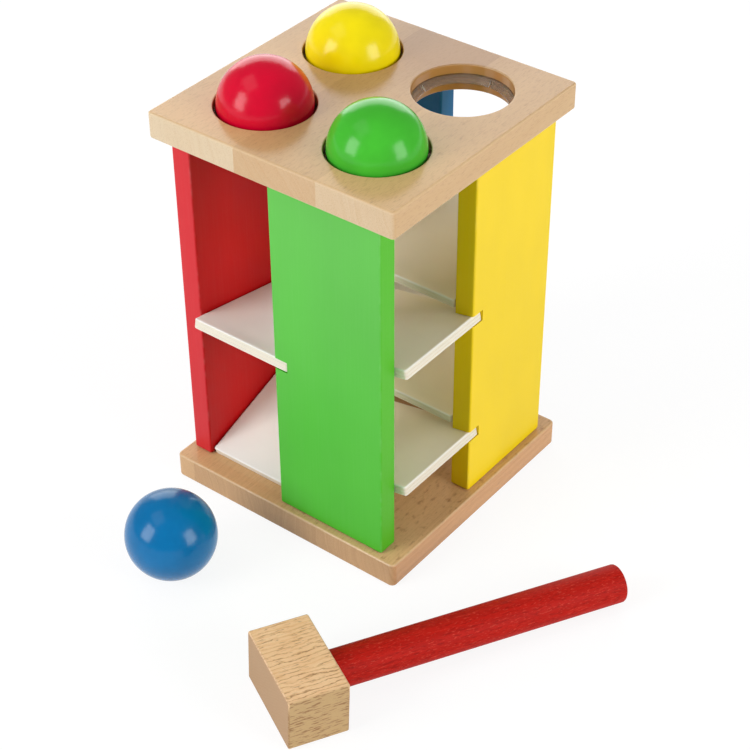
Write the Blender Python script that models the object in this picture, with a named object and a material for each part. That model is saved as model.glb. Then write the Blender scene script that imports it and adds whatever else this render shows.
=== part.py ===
"""Ball pounding toy: a square wooden tower with balls in its top, a spiral of ramps inside, and a hammer.

Metres, +Z up. The origin is the centre of the base plate's underside. What repeats on the four sides is drawn
once for the -Y side, which the green panel half closes, and turned about Z. A ball that is pounded through the
top rolls from ramp to ramp and leaves the tower on the -Y side.
"""

import math

import bmesh
import bpy
from mathutils import Matrix, Vector

# Clearances
GAP = 0.0003  # between pieces that touch or fit into each other
CUT_PAST = 0.004  # how far a cutting shape runs past the face that it opens

# Balls and their holes
BALL_DIAMETER = 0.050
HOLE_CLEARANCE = 0.00185  # all round a ball in its hole
HOLE_WEB = 0.0173  # wood between two holes
HOLE_MARGIN = 0.01515  # wood between a hole and the plate's edge
HOLE_RIM = 0.0008  # chamfer on a hole's edges

# Plates
PLATE_THICKNESS = 0.015
PLATE_CORNER_RADIUS = 0.0035
PLATE_EDGE_ROUND = 0.0012

# Panels, the four uprights
PANEL_LENGTH = 0.2074
PANEL_THICKNESS = 0.012
PANEL_EDGE_ROUND = 0.001
PANEL_END_INSET = 0.0112  # from the plate's edge to the panel's narrow edge at the corner
BALL_SIDE_CLEARANCE = 0.0008  # between a falling ball and the panel beside it
LANE_CLEARANCE = 0.0076  # sideways room of a ball that rolls down a ramp

# Dowels that join the panels to the plates
DOWEL_DIAMETER = 0.006
DOWEL_IN_PLATE = 0.010
DOWEL_IN_PANEL = 0.018
DOWEL_EDGE = 0.010  # from the panel's narrow edge to a dowel's axis
DOWEL_CHAMFER = 0.0008

# Retaining rings
RING_DEPTH = 0.005  # from the plate's top to the groove
RING_HEIGHT = 0.0055
GROOVE_DEPTH = 0.0022
LIP_REACH = 0.0012  # how far the lip's edge reaches in under the ball
LIP_DROP = 0.0037  # from the ring's top down to the lip's edge
LIP_EDGE = 0.0012  # thickness of the lip at its edge
LIP_ROOT = 0.0020  # thickness of the lip where it leaves the band
SLIT_WIDTH = 0.0016
SLIT_COUNT = 4

# Ramps of the spiral
RAMP_COUNT = 6
RAMP_THICKNESS = 0.006
RAMP_SLOPE = 0.18  # fall for each unit of run
RAMP_OVERSHOOT = 0.0036  # how far the low edge runs past the tower's middle
RAMP_STEP = 0.0016  # clear height between a low edge and the next ramp
RAMP_CORNER_RADIUS = 0.0022
RAMP_EDGE_ROUND = 0.0004
LOWEST_RAMP_RISE = 0.0419  # from the base plate's top to the lowest ramp's high edge
NOTCH_DEPTH = 0.0061  # how far a ramp's end sits in the edge of its own panel
TONGUE_DEPTH = 0.003  # how far its other end sits in the next panel's inner face
TONGUE_WALL = 0.0015  # wood between a tongue's groove and the dowels

# Exit ramp
EXIT_SLOPE = 0.357
EXIT_SETBACK = 0.0033  # from the panel's narrow edge to the ramp's front

# Hammer
HEAD_THICKNESS = 0.0325  # along the handle
HEAD_LENGTH = 0.054  # from one striking face to the other
HEAD_HEIGHT = 0.0325
HEAD_EDGE_ROUND = 0.0013
HANDLE_DIAMETER = 0.0208
HANDLE_LENGTH = 0.168  # outside the head
HANDLE_END_ROUND = 0.0035
TENON_DIAMETER = 0.015
TENON_LENGTH = 0.022
HAMMER_PLACE = (0.0825, -0.1862)  # middle of the head's far face
HAMMER_TURN = math.radians(62.0)

# The ball that has left the tower
LOOSE_BALL_PLACE = (-0.026, -0.1375)

# Facets
BALL_SEGMENTS = 24
HOLE_SEGMENTS = 36
DOWEL_SEGMENTS = 12
HANDLE_SEGMENTS = 24
CORNER_STEPS = 4
ROUND_SEGMENTS = 2
SHARP_ANGLE = math.radians(35)

# Worked out from the sizes above
BALL_RADIUS = BALL_DIAMETER / 2
HOLE_RADIUS = BALL_RADIUS + HOLE_CLEARANCE
HOLE_CENTRE = HOLE_WEB / 2 + HOLE_RADIUS  # from the tower's axis, along X and along Y
PLATE_HALF = HOLE_CENTRE + HOLE_RADIUS + HOLE_MARGIN
PANEL_INNER = HOLE_CENTRE + BALL_RADIUS + BALL_SIDE_CLEARANCE  # from the axis to a panel's inner face
PANEL_OUTER = PANEL_INNER + PANEL_THICKNESS
PANEL_NEAR = PLATE_HALF - PANEL_END_INSET  # the panel's narrow edge at the tower's corner
PANEL_FAR = BALL_DIAMETER + LANE_CLEARANCE - PANEL_INNER  # its other narrow edge, beside the lane
BASE_TOP = PLATE_THICKNESS
TOP_UNDERSIDE = BASE_TOP + PANEL_LENGTH + 2 * GAP
TOWER_TOP = TOP_UNDERSIDE + PLATE_THICKNESS
RING_TOP = TOWER_TOP - RING_DEPTH - GAP
RING_BOTTOM = TOWER_TOP - RING_DEPTH - RING_HEIGHT + GAP
LIP_RADIUS = BALL_RADIUS - LIP_REACH
LIP_HEIGHT = RING_TOP - LIP_DROP
SEATED_BALL_HEIGHT = LIP_HEIGHT + math.sqrt((BALL_RADIUS + GAP) ** 2 - LIP_RADIUS**2)
RAMP_ANGLE = math.atan(RAMP_SLOPE)
RAMP_DROP = RAMP_SLOPE * (PANEL_INNER + RAMP_OVERSHOOT) + RAMP_THICKNESS / math.cos(RAMP_ANGLE) + RAMP_STEP
TONGUE_STOP = DOWEL_EDGE + DOWEL_DIAMETER / 2 + TONGUE_WALL
TONGUE_FROM = -PANEL_NEAR + TONGUE_STOP
TONGUE_TO = -PANEL_FAR - TONGUE_STOP
EXIT_ANGLE = math.atan(EXIT_SLOPE)

# Side of each quarter turn from the -Y side, and the hole that lies clockwise of it
PANEL_COLOURS = ("green", "yellow", "blue", "red")
BALL_COLOURS = ("red", "green", "blue", "yellow")
LOOSE_BALL = "blue"
EXIT_SIDE = 0
TOP_RAMP_SIDE = 2

BEECH = (0.72, 0.50, 0.32)
PAINTS = {
    "red": (0.62, 0.03, 0.035),
    "green": (0.10, 0.50, 0.07),
    "yellow": (0.93, 0.60, 0.01),
    "blue": (0.0, 0.13, 0.40),
}
WHITE = (0.82, 0.80, 0.74)
CLEAR_PLASTIC = (0.75, 0.75, 0.73)
HANDLE_STAIN = (0.42, 0.02, 0.01)


def clear_scene():
    for old in list(bpy.data.objects):
        bpy.data.objects.remove(old, do_unlink=True)


def material(name, colour, roughness):
    finish = bpy.data.materials.new(name)
    finish.use_nodes = True
    shader = finish.node_tree.nodes["Principled BSDF"]
    shader.inputs["Base Color"].default_value = (*colour, 1.0)
    shader.inputs["Roughness"].default_value = roughness
    shader.inputs["Metallic"].default_value = 0.0
    return finish


def empty(name):
    holder = bpy.data.objects.new(name, None)
    bpy.context.scene.collection.objects.link(holder)
    return holder


def add_object(name, mesh, finish, parent=None):
    mesh.materials.append(finish)
    piece = bpy.data.objects.new(name, mesh)
    bpy.context.scene.collection.objects.link(piece)
    piece.parent = parent
    return piece


def add_cutter(name, mesh, parent=None):
    tool = bpy.data.objects.new(name, mesh)
    bpy.context.scene.collection.objects.link(tool)
    tool.hide_render = True
    tool.display_type = "WIRE"
    tool.parent = parent
    return tool


def cut(piece, tool):
    boolean = piece.modifiers.new("cut " + tool.name, "BOOLEAN")
    boolean.operation = "DIFFERENCE"
    boolean.solver = "EXACT"
    boolean.object = tool


def round_edges(piece, width, segments=ROUND_SEGMENTS):
    bevel = piece.modifiers.new("rounded edges", "BEVEL")
    bevel.width = width
    bevel.segments = segments
    bevel.limit_method = "ANGLE"
    bevel.angle_limit = math.radians(45)


def quarter_turn(side):
    return Matrix.Rotation(side * math.pi / 2, 4, "Z")


def finished_mesh(name, bm, smooth=False):
    bmesh.ops.recalc_face_normals(bm, faces=bm.faces[:])
    mesh = bpy.data.meshes.new(name)
    bm.to_mesh(mesh)
    bm.free()
    if smooth:
        mesh.shade_smooth()
        mesh.set_sharp_from_angle(angle=SHARP_ANGLE)
    return mesh


def block(name, low, high):
    """A box between two opposite corners."""
    bm = bmesh.new()
    size = Vector(high) - Vector(low)
    middle = (Vector(high) + Vector(low)) / 2
    bmesh.ops.create_cube(bm, size=1.0, matrix=Matrix.Translation(middle) @ Matrix.Diagonal((*size, 1.0)))
    return finished_mesh(name, bm)


def rounded_outline(corners):
    """Points of an outline with square corners, each given as x, y and its radius."""
    points = []
    for index, (x, y, radius) in enumerate(corners):
        corner = Vector((x, y))
        if radius == 0:
            points.append(corner)
            continue
        before = (Vector(corners[index - 1][:2]) - corner).normalized()
        after = (Vector(corners[(index + 1) % len(corners)][:2]) - corner).normalized()
        centre = corner + (before + after) * radius
        for step in range(CORNER_STEPS + 1):
            angle = step / CORNER_STEPS * math.pi / 2
            points.append(centre - (after * math.cos(angle) + before * math.sin(angle)) * radius)
    return points


def prism(name, outline, low, high, matrix=Matrix()):
    """A flat outline in X and Y, given a thickness from low to high."""
    bm = bmesh.new()
    face = bm.faces.new([bm.verts.new((x, y, low)) for x, y in outline])
    grown = bmesh.ops.extrude_face_region(bm, geom=[face])
    top = [item for item in grown["geom"] if isinstance(item, bmesh.types.BMVert)]
    bmesh.ops.translate(bm, verts=top, vec=(0, 0, high - low))
    bmesh.ops.transform(bm, matrix=matrix, verts=bm.verts[:])
    return finished_mesh(name, bm)


def turned(name, profile, segments, closed=False, matrix=Matrix()):
    """A profile of radius and height, turned about Z. A closed profile makes a ring."""
    bm = bmesh.new()
    verts = [bm.verts.new((radius, 0, height)) for radius, height in profile]
    pairs = list(zip(verts, verts[1:]))
    if closed:
        pairs.append((verts[-1], verts[0]))
    edges = [bm.edges.new(pair) for pair in pairs]
    bmesh.ops.spin(
        bm, geom=verts + edges, axis=(0, 0, 1), cent=(0, 0, 0), angle=2 * math.pi, steps=segments, use_merge=True
    )
    bmesh.ops.remove_doubles(bm, verts=bm.verts[:], dist=1e-6)
    bmesh.ops.transform(bm, matrix=matrix, verts=bm.verts[:])
    return finished_mesh(name, bm, smooth=True)


def square_plate(name, low, high, finish, parent):
    radius = PLATE_CORNER_RADIUS
    half = PLATE_HALF
    corners = [(-half, -half, radius), (half, -half, radius), (half, half, radius), (-half, half, radius)]
    plate = add_object(name, prism(name, rounded_outline(corners), low, high), finish, parent)
    round_edges(plate, PLATE_EDGE_ROUND)
    return plate


def hole_centre(side):
    return quarter_turn(side) @ Vector((-HOLE_CENTRE, -HOLE_CENTRE, 0))


def hole_cutter(side, parent):
    """A through hole with chamfered edges and the ring's groove."""
    groove_top = TOWER_TOP - RING_DEPTH
    groove_bottom = groove_top - RING_HEIGHT
    groove_radius = HOLE_RADIUS + GROOVE_DEPTH
    flare = HOLE_RADIUS + HOLE_RIM + CUT_PAST
    profile = [
        (0, TOWER_TOP + CUT_PAST),
        (flare, TOWER_TOP + CUT_PAST),
        (HOLE_RADIUS, TOWER_TOP - HOLE_RIM),
        (HOLE_RADIUS, groove_top),
        (groove_radius, groove_top),
        (groove_radius, groove_bottom),
        (HOLE_RADIUS, groove_bottom),
        (HOLE_RADIUS, TOP_UNDERSIDE + HOLE_RIM),
        (flare, TOP_UNDERSIDE - CUT_PAST),
        (0, TOP_UNDERSIDE - CUT_PAST),
    ]
    place = Matrix.Translation(hole_centre(side))
    return add_cutter(f"hole_cutter_{side}", turned("hole", profile, HOLE_SEGMENTS, matrix=place), parent)


def add_ring(side, finish, parent):
    """A clear ring: a band in the groove and a sloping lip, slit so that it gives way under a blow."""
    band_out = HOLE_RADIUS + GROOVE_DEPTH - GAP
    profile = [
        (band_out, RING_TOP),
        (band_out, RING_BOTTOM),
        (HOLE_RADIUS, RING_BOTTOM),
        (HOLE_RADIUS, RING_TOP - LIP_ROOT),
        (LIP_RADIUS, LIP_HEIGHT - LIP_EDGE),
        (LIP_RADIUS, LIP_HEIGHT),
        (HOLE_RADIUS, RING_TOP),
    ]
    name = f"{BALL_COLOURS[side]}_ball_ring"
    ring = add_object(name, turned(name, profile, HOLE_SEGMENTS, closed=True), finish, parent)
    ring.location = hole_centre(side)
    bm = bmesh.new()
    slit_from = LIP_RADIUS - CUT_PAST
    slit_to = HOLE_RADIUS - GAP
    slit_low = RING_BOTTOM - CUT_PAST
    slit_high = RING_TOP + CUT_PAST
    size = Matrix.Diagonal((slit_to - slit_from, SLIT_WIDTH, slit_high - slit_low, 1.0))
    place = Matrix.Translation(((slit_to + slit_from) / 2, 0, (slit_low + slit_high) / 2))
    for slit in range(SLIT_COUNT):
        turn = Matrix.Rotation(slit / SLIT_COUNT * 2 * math.pi, 4, "Z")
        bmesh.ops.create_cube(bm, size=1.0, matrix=turn @ place @ size)
    slits = add_cutter(f"slit_cutter_{side}", finished_mesh("slits", bm), parent)
    slits.location = ring.location
    cut(ring, slits)


def add_ball(name, centre, finish):
    bm = bmesh.new()
    bmesh.ops.create_uvsphere(bm, u_segments=BALL_SEGMENTS, v_segments=BALL_SEGMENTS // 2, radius=BALL_RADIUS)
    ball = add_object(name, finished_mesh(name, bm, smooth=True), finish)
    ball.location = centre


def add_panel(side, finish, parent):
    name = f"{PANEL_COLOURS[side]}_panel"
    low = (PANEL_FAR, -PANEL_OUTER, BASE_TOP + GAP)
    high = (PANEL_NEAR, -PANEL_INNER, TOP_UNDERSIDE - GAP)
    panel = add_object(name, block(name, low, high), finish, parent)
    panel.matrix_local = quarter_turn(side)
    round_edges(panel, PANEL_EDGE_ROUND)
    return panel


def dowel_profile(radius, low, high, chamfer):
    return [
        (0, high),
        (radius - chamfer, high),
        (radius, high - chamfer),
        (radius, low + chamfer),
        (radius - chamfer, low),
        (0, low),
    ]


def add_dowels(side, panel, plates, finish, parent):
    """Two dowels at each end of a panel, half in the panel and half in the plate."""
    radius = DOWEL_DIAMETER / 2
    spans = {
        "base": (BASE_TOP - DOWEL_IN_PLATE, BASE_TOP + DOWEL_IN_PANEL),
        "top": (TOP_UNDERSIDE - DOWEL_IN_PANEL, TOP_UNDERSIDE + DOWEL_IN_PLATE),
    }
    places = (PANEL_NEAR - DOWEL_EDGE, PANEL_FAR + DOWEL_EDGE)
    for end, (low, high) in spans.items():
        for number, along in enumerate(places, 1):
            name = f"{PANEL_COLOURS[side]}_{end}_dowel_{number}"
            axis = quarter_turn(side) @ Vector((along, -(PANEL_INNER + PANEL_OUTER) / 2, 0))
            solid = dowel_profile(radius, low, high, DOWEL_CHAMFER)
            dowel = add_object(name, turned(name, solid, DOWEL_SEGMENTS), finish, parent)
            dowel.location = axis
            hollow = dowel_profile(radius + GAP, low - GAP, high + GAP, DOWEL_CHAMFER)
            drill = add_cutter("drill_" + name, turned("drill", hollow, DOWEL_SEGMENTS), parent)
            drill.location = axis
            cut(panel, drill)
            cut(plates[end], drill)


def ramp_outline(start, end, right, tongue_from, tongue_to, radius):
    """A ramp seen square to its face: a rectangle with a tongue on its left side."""
    left = -PANEL_INNER + GAP
    tip = left - TONGUE_DEPTH
    corners = [
        (right, start, radius),
        (right, end, radius),
        (left, end, radius),
        (left, tongue_to, 0),
        (tip, tongue_to, 0),
        (tip, tongue_from, 0),
        (left, tongue_from, 0),
        (left, start, radius),
    ]
    return rounded_outline(corners)


def pocket_outline(start, end, right, tongue_from, tongue_to):
    """The same rectangle and tongue with the clearance round them, open past the outer face of the panel."""
    left = -PANEL_INNER + GAP
    tip = left - TONGUE_DEPTH - GAP
    corners = [
        (right + GAP, start - CUT_PAST, 0),
        (right + GAP, end + CUT_PAST, 0),
        (left, end + CUT_PAST, 0),
        (left, tongue_to + GAP, 0),
        (tip, tongue_to + GAP, 0),
        (tip, tongue_from - GAP, 0),
        (left, tongue_from - GAP, 0),
        (left, start - CUT_PAST, 0),
    ]
    return rounded_outline(corners)


def add_ramp(name, side, lie, span, right, panels, finish, parent):
    """A tilted plate under the plane that lie gives, and the seats that it cuts in the panels that hold it.

    lie is the matrix from the plate's own plane, where Y runs along the slope, and span is its start, its end and
    its tongue's start and end along that Y.
    """
    place = quarter_turn(side) @ lie
    start, end, tongue_from, tongue_to = span
    outline = ramp_outline(start, end, right, tongue_from, tongue_to, RAMP_CORNER_RADIUS)
    ramp = add_object(name, prism(name, outline, -RAMP_THICKNESS, 0), finish, parent)
    ramp.matrix_local = place
    round_edges(ramp, RAMP_EDGE_ROUND, 1)
    seat = pocket_outline(start, end, right, tongue_from, tongue_to)
    pocket = add_cutter("seat_" + name, prism("seat", seat, -RAMP_THICKNESS - GAP, GAP), parent)
    pocket.matrix_local = place
    for panel in panels:
        cut(panel, pocket)


def add_spiral_ramp(number, panels, finish, parent):
    """Ramp number 0 is the top one. Each next one is a quarter turn on and one drop lower."""
    side = (TOP_RAMP_SIDE - number) % len(panels)
    height = BASE_TOP + LOWEST_RAMP_RISE + (RAMP_COUNT - 1 - number) * RAMP_DROP
    lie = Matrix.Translation((0, -PANEL_OUTER, height)) @ Matrix.Rotation(-RAMP_ANGLE, 4, "X")

    def along(y):
        return (y + PANEL_OUTER) / math.cos(RAMP_ANGLE)

    start = RAMP_THICKNESS * math.tan(RAMP_ANGLE)  # the lower edge is flush with the panel's outer face
    span = (start, along(RAMP_OVERSHOOT), along(TONGUE_FROM), along(TONGUE_TO))
    right = PANEL_FAR + NOTCH_DEPTH
    holders = (panels[side], panels[side - 1])
    name = f"ramp_{number + 1}_{PANEL_COLOURS[side]}_side"
    add_ramp(name, side, lie, span, right, holders, finish, parent)


def add_exit_ramp(panels, finish, parent):
    """A steeper plate that stands on the base and tips the balls out on the exit side."""
    front = -PANEL_NEAR + EXIT_SETBACK
    foot = Matrix.Translation((0, front, BASE_TOP + GAP)) @ Matrix.Rotation(EXIT_ANGLE, 4, "X")
    lie = foot @ Matrix.Translation((0, 0, RAMP_THICKNESS))

    def along(y):
        return (y - front) / math.cos(EXIT_ANGLE)

    span = (0, along(RAMP_OVERSHOOT), along(TONGUE_FROM), along(TONGUE_TO))
    right = min(PANEL_FAR, -RAMP_OVERSHOOT) - GAP
    holders = (panels[EXIT_SIDE - 1],)
    add_ramp("exit_ramp", EXIT_SIDE, lie, span, right, holders, finish, parent)


def add_hammer(wood, stain):
    """The hammer lies on its head's lower edge and on the end of its handle, which runs along local X."""
    half_height = HEAD_HEIGHT / 2
    handle_radius = HANDLE_DIAMETER / 2
    handle_end = HEAD_THICKNESS + HANDLE_LENGTH
    head_rest = HEAD_THICKNESS - HEAD_EDGE_ROUND
    handle_rest = handle_end - HANDLE_END_ROUND
    tilt = math.atan((half_height - handle_radius) / (handle_rest - head_rest))
    height = half_height * math.cos(tilt) + head_rest * math.sin(tilt)
    holder = empty("hammer")
    holder.location = (*HAMMER_PLACE, height)
    holder.rotation_euler = (0, tilt, HAMMER_TURN)

    low = (0, -HEAD_LENGTH / 2, -half_height)
    high = (HEAD_THICKNESS, HEAD_LENGTH / 2, half_height)
    head = add_object("hammer_head", block("hammer_head", low, high), wood, holder)
    round_edges(head, HEAD_EDGE_ROUND)

    lay_down = Matrix.Rotation(math.pi / 2, 4, "Y")
    tenon_radius = TENON_DIAMETER / 2
    tenon_start = HEAD_THICKNESS - TENON_LENGTH
    profile = [(0, tenon_start), (tenon_radius - GAP, tenon_start)]
    profile += [(tenon_radius - GAP, HEAD_THICKNESS + GAP), (handle_radius, HEAD_THICKNESS + GAP)]
    for step in range(CORNER_STEPS + 1):
        angle = step / CORNER_STEPS * math.pi / 2
        inset = HANDLE_END_ROUND * (1 - math.cos(angle))
        profile.append((handle_radius - inset, handle_rest + HANDLE_END_ROUND * math.sin(angle)))
    profile.append((0, handle_end))
    handle_mesh = turned("hammer_handle", profile, HANDLE_SEGMENTS, matrix=lay_down)
    add_object("hammer_handle", handle_mesh, stain, holder)

    bore = [(0, tenon_start - GAP), (tenon_radius, tenon_start - GAP)]
    bore += [(tenon_radius, HEAD_THICKNESS + CUT_PAST), (0, HEAD_THICKNESS + CUT_PAST)]
    cut(head, add_cutter("handle_bore", turned("bore", bore, HANDLE_SEGMENTS, matrix=lay_down), holder))


def build():
    clear_scene()
    beech = material("beech", BEECH, 0.5)
    white = material("white_paint", WHITE, 0.55)
    clear = material("clear_plastic", CLEAR_PLASTIC, 0.15)
    stain = material("red_stain", HANDLE_STAIN, 0.55)
    paints = {colour: material(colour + "_paint", rgb, 0.35) for colour, rgb in PAINTS.items()}
    lacquers = {colour: material(colour + "_lacquer", rgb, 0.12) for colour, rgb in PAINTS.items()}

    tower = empty("tower")
    plates = {
        "base": square_plate("base_plate", 0, BASE_TOP, beech, tower),
        "top": square_plate("top_plate", TOP_UNDERSIDE, TOWER_TOP, beech, tower),
    }
    panels = []
    for side, colour in enumerate(PANEL_COLOURS):
        panels.append(add_panel(side, paints[colour], tower))
        add_dowels(side, panels[side], plates, beech, tower)
    for number in range(RAMP_COUNT):
        add_spiral_ramp(number, panels, white, tower)
    add_exit_ramp(panels, white, tower)
    for side, colour in enumerate(BALL_COLOURS):
        cut(plates["top"], hole_cutter(side, tower))
        add_ring(side, clear, tower)
        centre = (*hole_centre(side).xy, SEATED_BALL_HEIGHT)
        if colour == LOOSE_BALL:
            centre = (*LOOSE_BALL_PLACE, BALL_RADIUS)
        add_ball(f"{colour}_ball", centre, lacquers[colour])
    add_hammer(beech, stain)


build()
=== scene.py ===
"""Looks of the ball pounding toy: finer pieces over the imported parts, their finishes, light and camera.

Metres, +Z up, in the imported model's frame. What repeats on the four sides is drawn once for the -Y side,
which the green panel half closes, and turned about Z.
"""
import math

import bmesh
import bpy
from mathutils import Euler, Matrix, Vector, kdtree, noise


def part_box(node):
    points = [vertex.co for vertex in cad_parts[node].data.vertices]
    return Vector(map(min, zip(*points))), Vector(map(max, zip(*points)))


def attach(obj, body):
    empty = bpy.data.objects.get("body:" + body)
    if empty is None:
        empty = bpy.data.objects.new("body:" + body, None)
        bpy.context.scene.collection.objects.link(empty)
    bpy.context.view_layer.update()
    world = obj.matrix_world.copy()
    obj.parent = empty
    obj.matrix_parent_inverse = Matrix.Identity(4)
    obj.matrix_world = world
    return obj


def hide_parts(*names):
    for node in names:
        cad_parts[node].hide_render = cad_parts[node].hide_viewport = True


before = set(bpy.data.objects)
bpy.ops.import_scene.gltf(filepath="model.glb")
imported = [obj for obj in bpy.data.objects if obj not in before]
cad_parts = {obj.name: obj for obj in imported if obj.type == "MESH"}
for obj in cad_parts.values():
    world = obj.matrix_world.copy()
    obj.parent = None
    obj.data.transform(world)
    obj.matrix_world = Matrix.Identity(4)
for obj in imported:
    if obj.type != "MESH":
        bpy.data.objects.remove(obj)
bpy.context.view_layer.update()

MILLIMETRES = 1000  # in a metre; the finishes are drawn in millimetres

# Sides of the tower, as quarter turns from the -Y side
PANEL_COLOURS = ("green", "yellow", "blue", "red")
BALL_COLOURS = ("red", "green", "blue", "yellow")
SEATED_BALL = "red"
SPIRAL_RAMPS = [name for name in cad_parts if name.startswith("ramp_")]
EXIT_RAMP = "exit_ramp"
EXIT_SIDE = 0
DOWELS = [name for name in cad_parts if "_dowel_" in name]

# Fits
GAP = 0.0003
CUT_PAST = 0.004
SAME_PLACE = 0.000002  # apart at most, for two corners taken as one
WELD = 0.0000001  # apart at most, for two corners of a turned mesh that are joined
HOLE_CLEARANCE = 0.0014

# Plates
BASE_CORNER_RADIUS = 0.0032
TOP_CORNER_RADIUS = 0.0022
PLATE_EDGE_ROUND = 0.0011
HOLE_RIM_ROUND = 0.0009

# Panels
PANEL_CORNER_RADIUS = 0.0013
PANEL_EDGE_ROUND = 0.0011

# Retaining rings
RING_SLOT = 0.0007  # above the ring, which leaves the dark line over the lip
LIP_REACH = 0.0012
LIP_DROP = 0.0037
LIP_EDGE = 0.0012
LIP_ROOT = 0.0020
LIP_ROUND = 0.00035
SLIT_WIDTH = 0.0016
SLIT_COUNT = 4

# Ramps
RAMP_THICKNESS = 0.006
RAMP_SLOPE = 0.18
EXIT_SLOPE = 0.357
EXIT_SINK = 0.0018  # of the exit ramp, whose underside is cut flat where it stands on the base
TIP_REACH = 0.0022  # of the ramps, further into the next panel's notch
RAMP_CORNER_RADIUS = 0.0014
RAMP_EDGE_ROUND = 0.0009
TONGUE_DEPTH = 0.003
TONGUE_STOP = 0.0145  # from a panel's narrow edges to the tongue
TONGUE_STEP = 0.0020  # from a ramp's faces to the tongue's
JOINT_LINE = 0.0005  # left open between a ramp's edge and the panel that holds its tongue
PLY_COUNT = 3
PLY_GROOVE = 0.00018  # depth of the line between two plies on the edge
PLY_GROOVE_HALF = 0.00022

# Hammer
HEAD_THICKNESS = 0.0325
HEAD_LENGTH = 0.054
HEAD_HEIGHT = 0.0325
HEAD_CORNER_RADIUS = 0.0013
HEAD_EDGE_ROUND = 0.0010
HANDLE_DIAMETER = 0.0208
HANDLE_LENGTH = 0.168
HANDLE_END_ROUND = 0.0018
HANDLE_END_CROWN = 0.0012
HANDLE_EASE = 0.0004  # rounding of the shoulder and of the tenon's end
TENON_DIAMETER = 0.015
TENON_LENGTH = 0.022
HAMMER_PLACE = (0.0825, -0.1862)
HAMMER_TURN = math.radians(62.0)

# Balls
BALL_CUTS = 35
BALL_UNEVENNESS = 0.00004
BALL_UNEVEN_SCALE = 2.6
BALL_SEED_STEP = 7.3

# Smoothness of the round shapes
HOLE_SEGMENTS = 128
TURNED_SEGMENTS = 96
DOWEL_SEGMENTS = 24
CORNER_STEPS = 8
EDGE_STEPS = 5
SMALL_STEPS = 3
SHARP_ANGLE = math.radians(32)
FLATS_LEAD = 100  # the most that a large face can bend its neighbours' shading

LAID_ALONG_X = Matrix.Rotation(math.pi / 2, 4, "Y")

# Camera, in degrees, metres and millimetres
CAMERA_AZIMUTH = 37.993
CAMERA_ELEVATION = 37.879
CAMERA_ROLL = -0.390
CAMERA_PLACE = (0.52567, -0.66591, 0.72002)
SENSOR_WIDTH = 36.0
FOCAL_LENGTH = 91.939

# Light: each softbox's name, azimuth, elevation, width, height and radiance
LIGHT_AIM = (0.0, 0.0, 0.15)
LIGHT_DISTANCE = 2.0
SOFTBOXES = (
    ("left_softbox", -24.0, 22.0, 0.90, 1.15, 6.8),
    ("right_softbox", 92.0, 16.0, 0.90, 1.15, 6.5),
    ("upper_softbox", -40.0, 60.0, 1.30, 0.90, 1.1),
    ("back_softbox", 218.0, 17.0, 2.40, 1.38, 1.9),
)
# Low lamps that views from behind would see mirrored in the top plate
GLARING_LAMPS = ("left_softbox", "right_softbox")
AMBIENT_LEVEL = 0.38
BACKDROP_AZIMUTH = 218.0
BACKDROP_FADE = (0.76, 0.84)  # cosines of the angles from its middle where it fades in
ROOM_LEVEL = 0.25  # what mirrors show of the room in front of the backdrop

# Floor
FLOOR_HALF = 12.0
FLOOR_GAP = 0.0002  # below the object's underside
FLOOR_COLOUR = (0.88, 0.88, 0.87, 1.0)
FLOOR_SHADOW_SHARE = (0.16, 0.16, 0.16, 1.0)
FLOOR_GLOW = 0.87
FAR_GLOW = 0.95  # beyond the lamps' light
FAR_REACH = (0.8, 2.5)  # distances from the tower between which the glow rises

# Marks that the meshes carry for the finishes
# rounded edges: wear on paint and wood, and where painted highlights and painted shade go
EDGE_WEAR_AND_LIGHT = "edge_wear_and_light"
PLY = "ply"
END_GRAIN = "end_grain"
SIDE_GRAIN = "side_grain"
# faces inside the ball holes, which get painted shade
SHADED_BORE = "bore"
FLAT = "flat"
# slit faces of the rings, painted white as a glint
GLINTING_SLIT = "slit"
BORE_LEAN = 0.5  # the most that a hole's own faces look up or down
SLIT_FACING = 0.7  # the least that a slit's faces look along the ring's circle

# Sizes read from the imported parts
base_low, base_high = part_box("base_plate")
top_low, top_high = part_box("top_plate")
seated_low, seated_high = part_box(SEATED_BALL + "_ball")
ring_low, ring_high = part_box(SEATED_BALL + "_ball_ring")
BALL_RADIUS = (seated_high.z - seated_low.z) / 2
HOLE_CENTRE = abs(seated_low.x + seated_high.x) / 2
HOLE_RADIUS = BALL_RADIUS + HOLE_CLEARANCE
RING_OUTER = (ring_high.x - ring_low.x) / 2
PLATE_HALF = top_high.x


def linear(red, green, blue):
    """A colour in screen values of 0 to 255, as the shader's linear values."""

    def channel(value):
        share = value / 255
        return share / 12.92 if share <= 0.04045 else ((share + 0.055) / 1.055) ** 2.4

    return (channel(red), channel(green), channel(blue), 1.0)


# Colours
TOP_BEECH = (linear(194, 144, 87), linear(219, 198, 166))
TOP_FACE = (linear(176, 132, 84), linear(231, 190, 135))
TOP_SIDE = (linear(195, 153, 102), linear(214, 182, 138))
BASE_BEECH = (linear(186, 144, 100), linear(216, 174, 126))
BASE_FACE = (linear(196, 152, 104), linear(228, 186, 136))
BASE_SIDE = (linear(190, 136, 83), linear(219, 166, 109))
DOWEL_BEECH = (linear(196, 150, 100), linear(228, 196, 150))
BEECH_FLECK = linear(140, 92, 52)
# painted shade inside the ball holes
BEECH_BORE_SHADE = linear(174, 122, 60)
# painted highlight on the plates' rounded edges
BEECH_EDGE_HIGHLIGHT = linear(240, 214, 176)
HAMMER_LIGHT = linear(252, 214, 170)
HAMMER_DARK = linear(236, 186, 134)
# side and end faces of the head: their grain colours, darkened further as painted shade
HAMMER_SIDE_GRAIN_AND_SHADE = linear(192, 160, 112)
HAMMER_END_GRAIN_AND_SHADE = linear(163, 129, 95)
HAMMER_GRAIN = linear(128, 78, 40)
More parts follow.
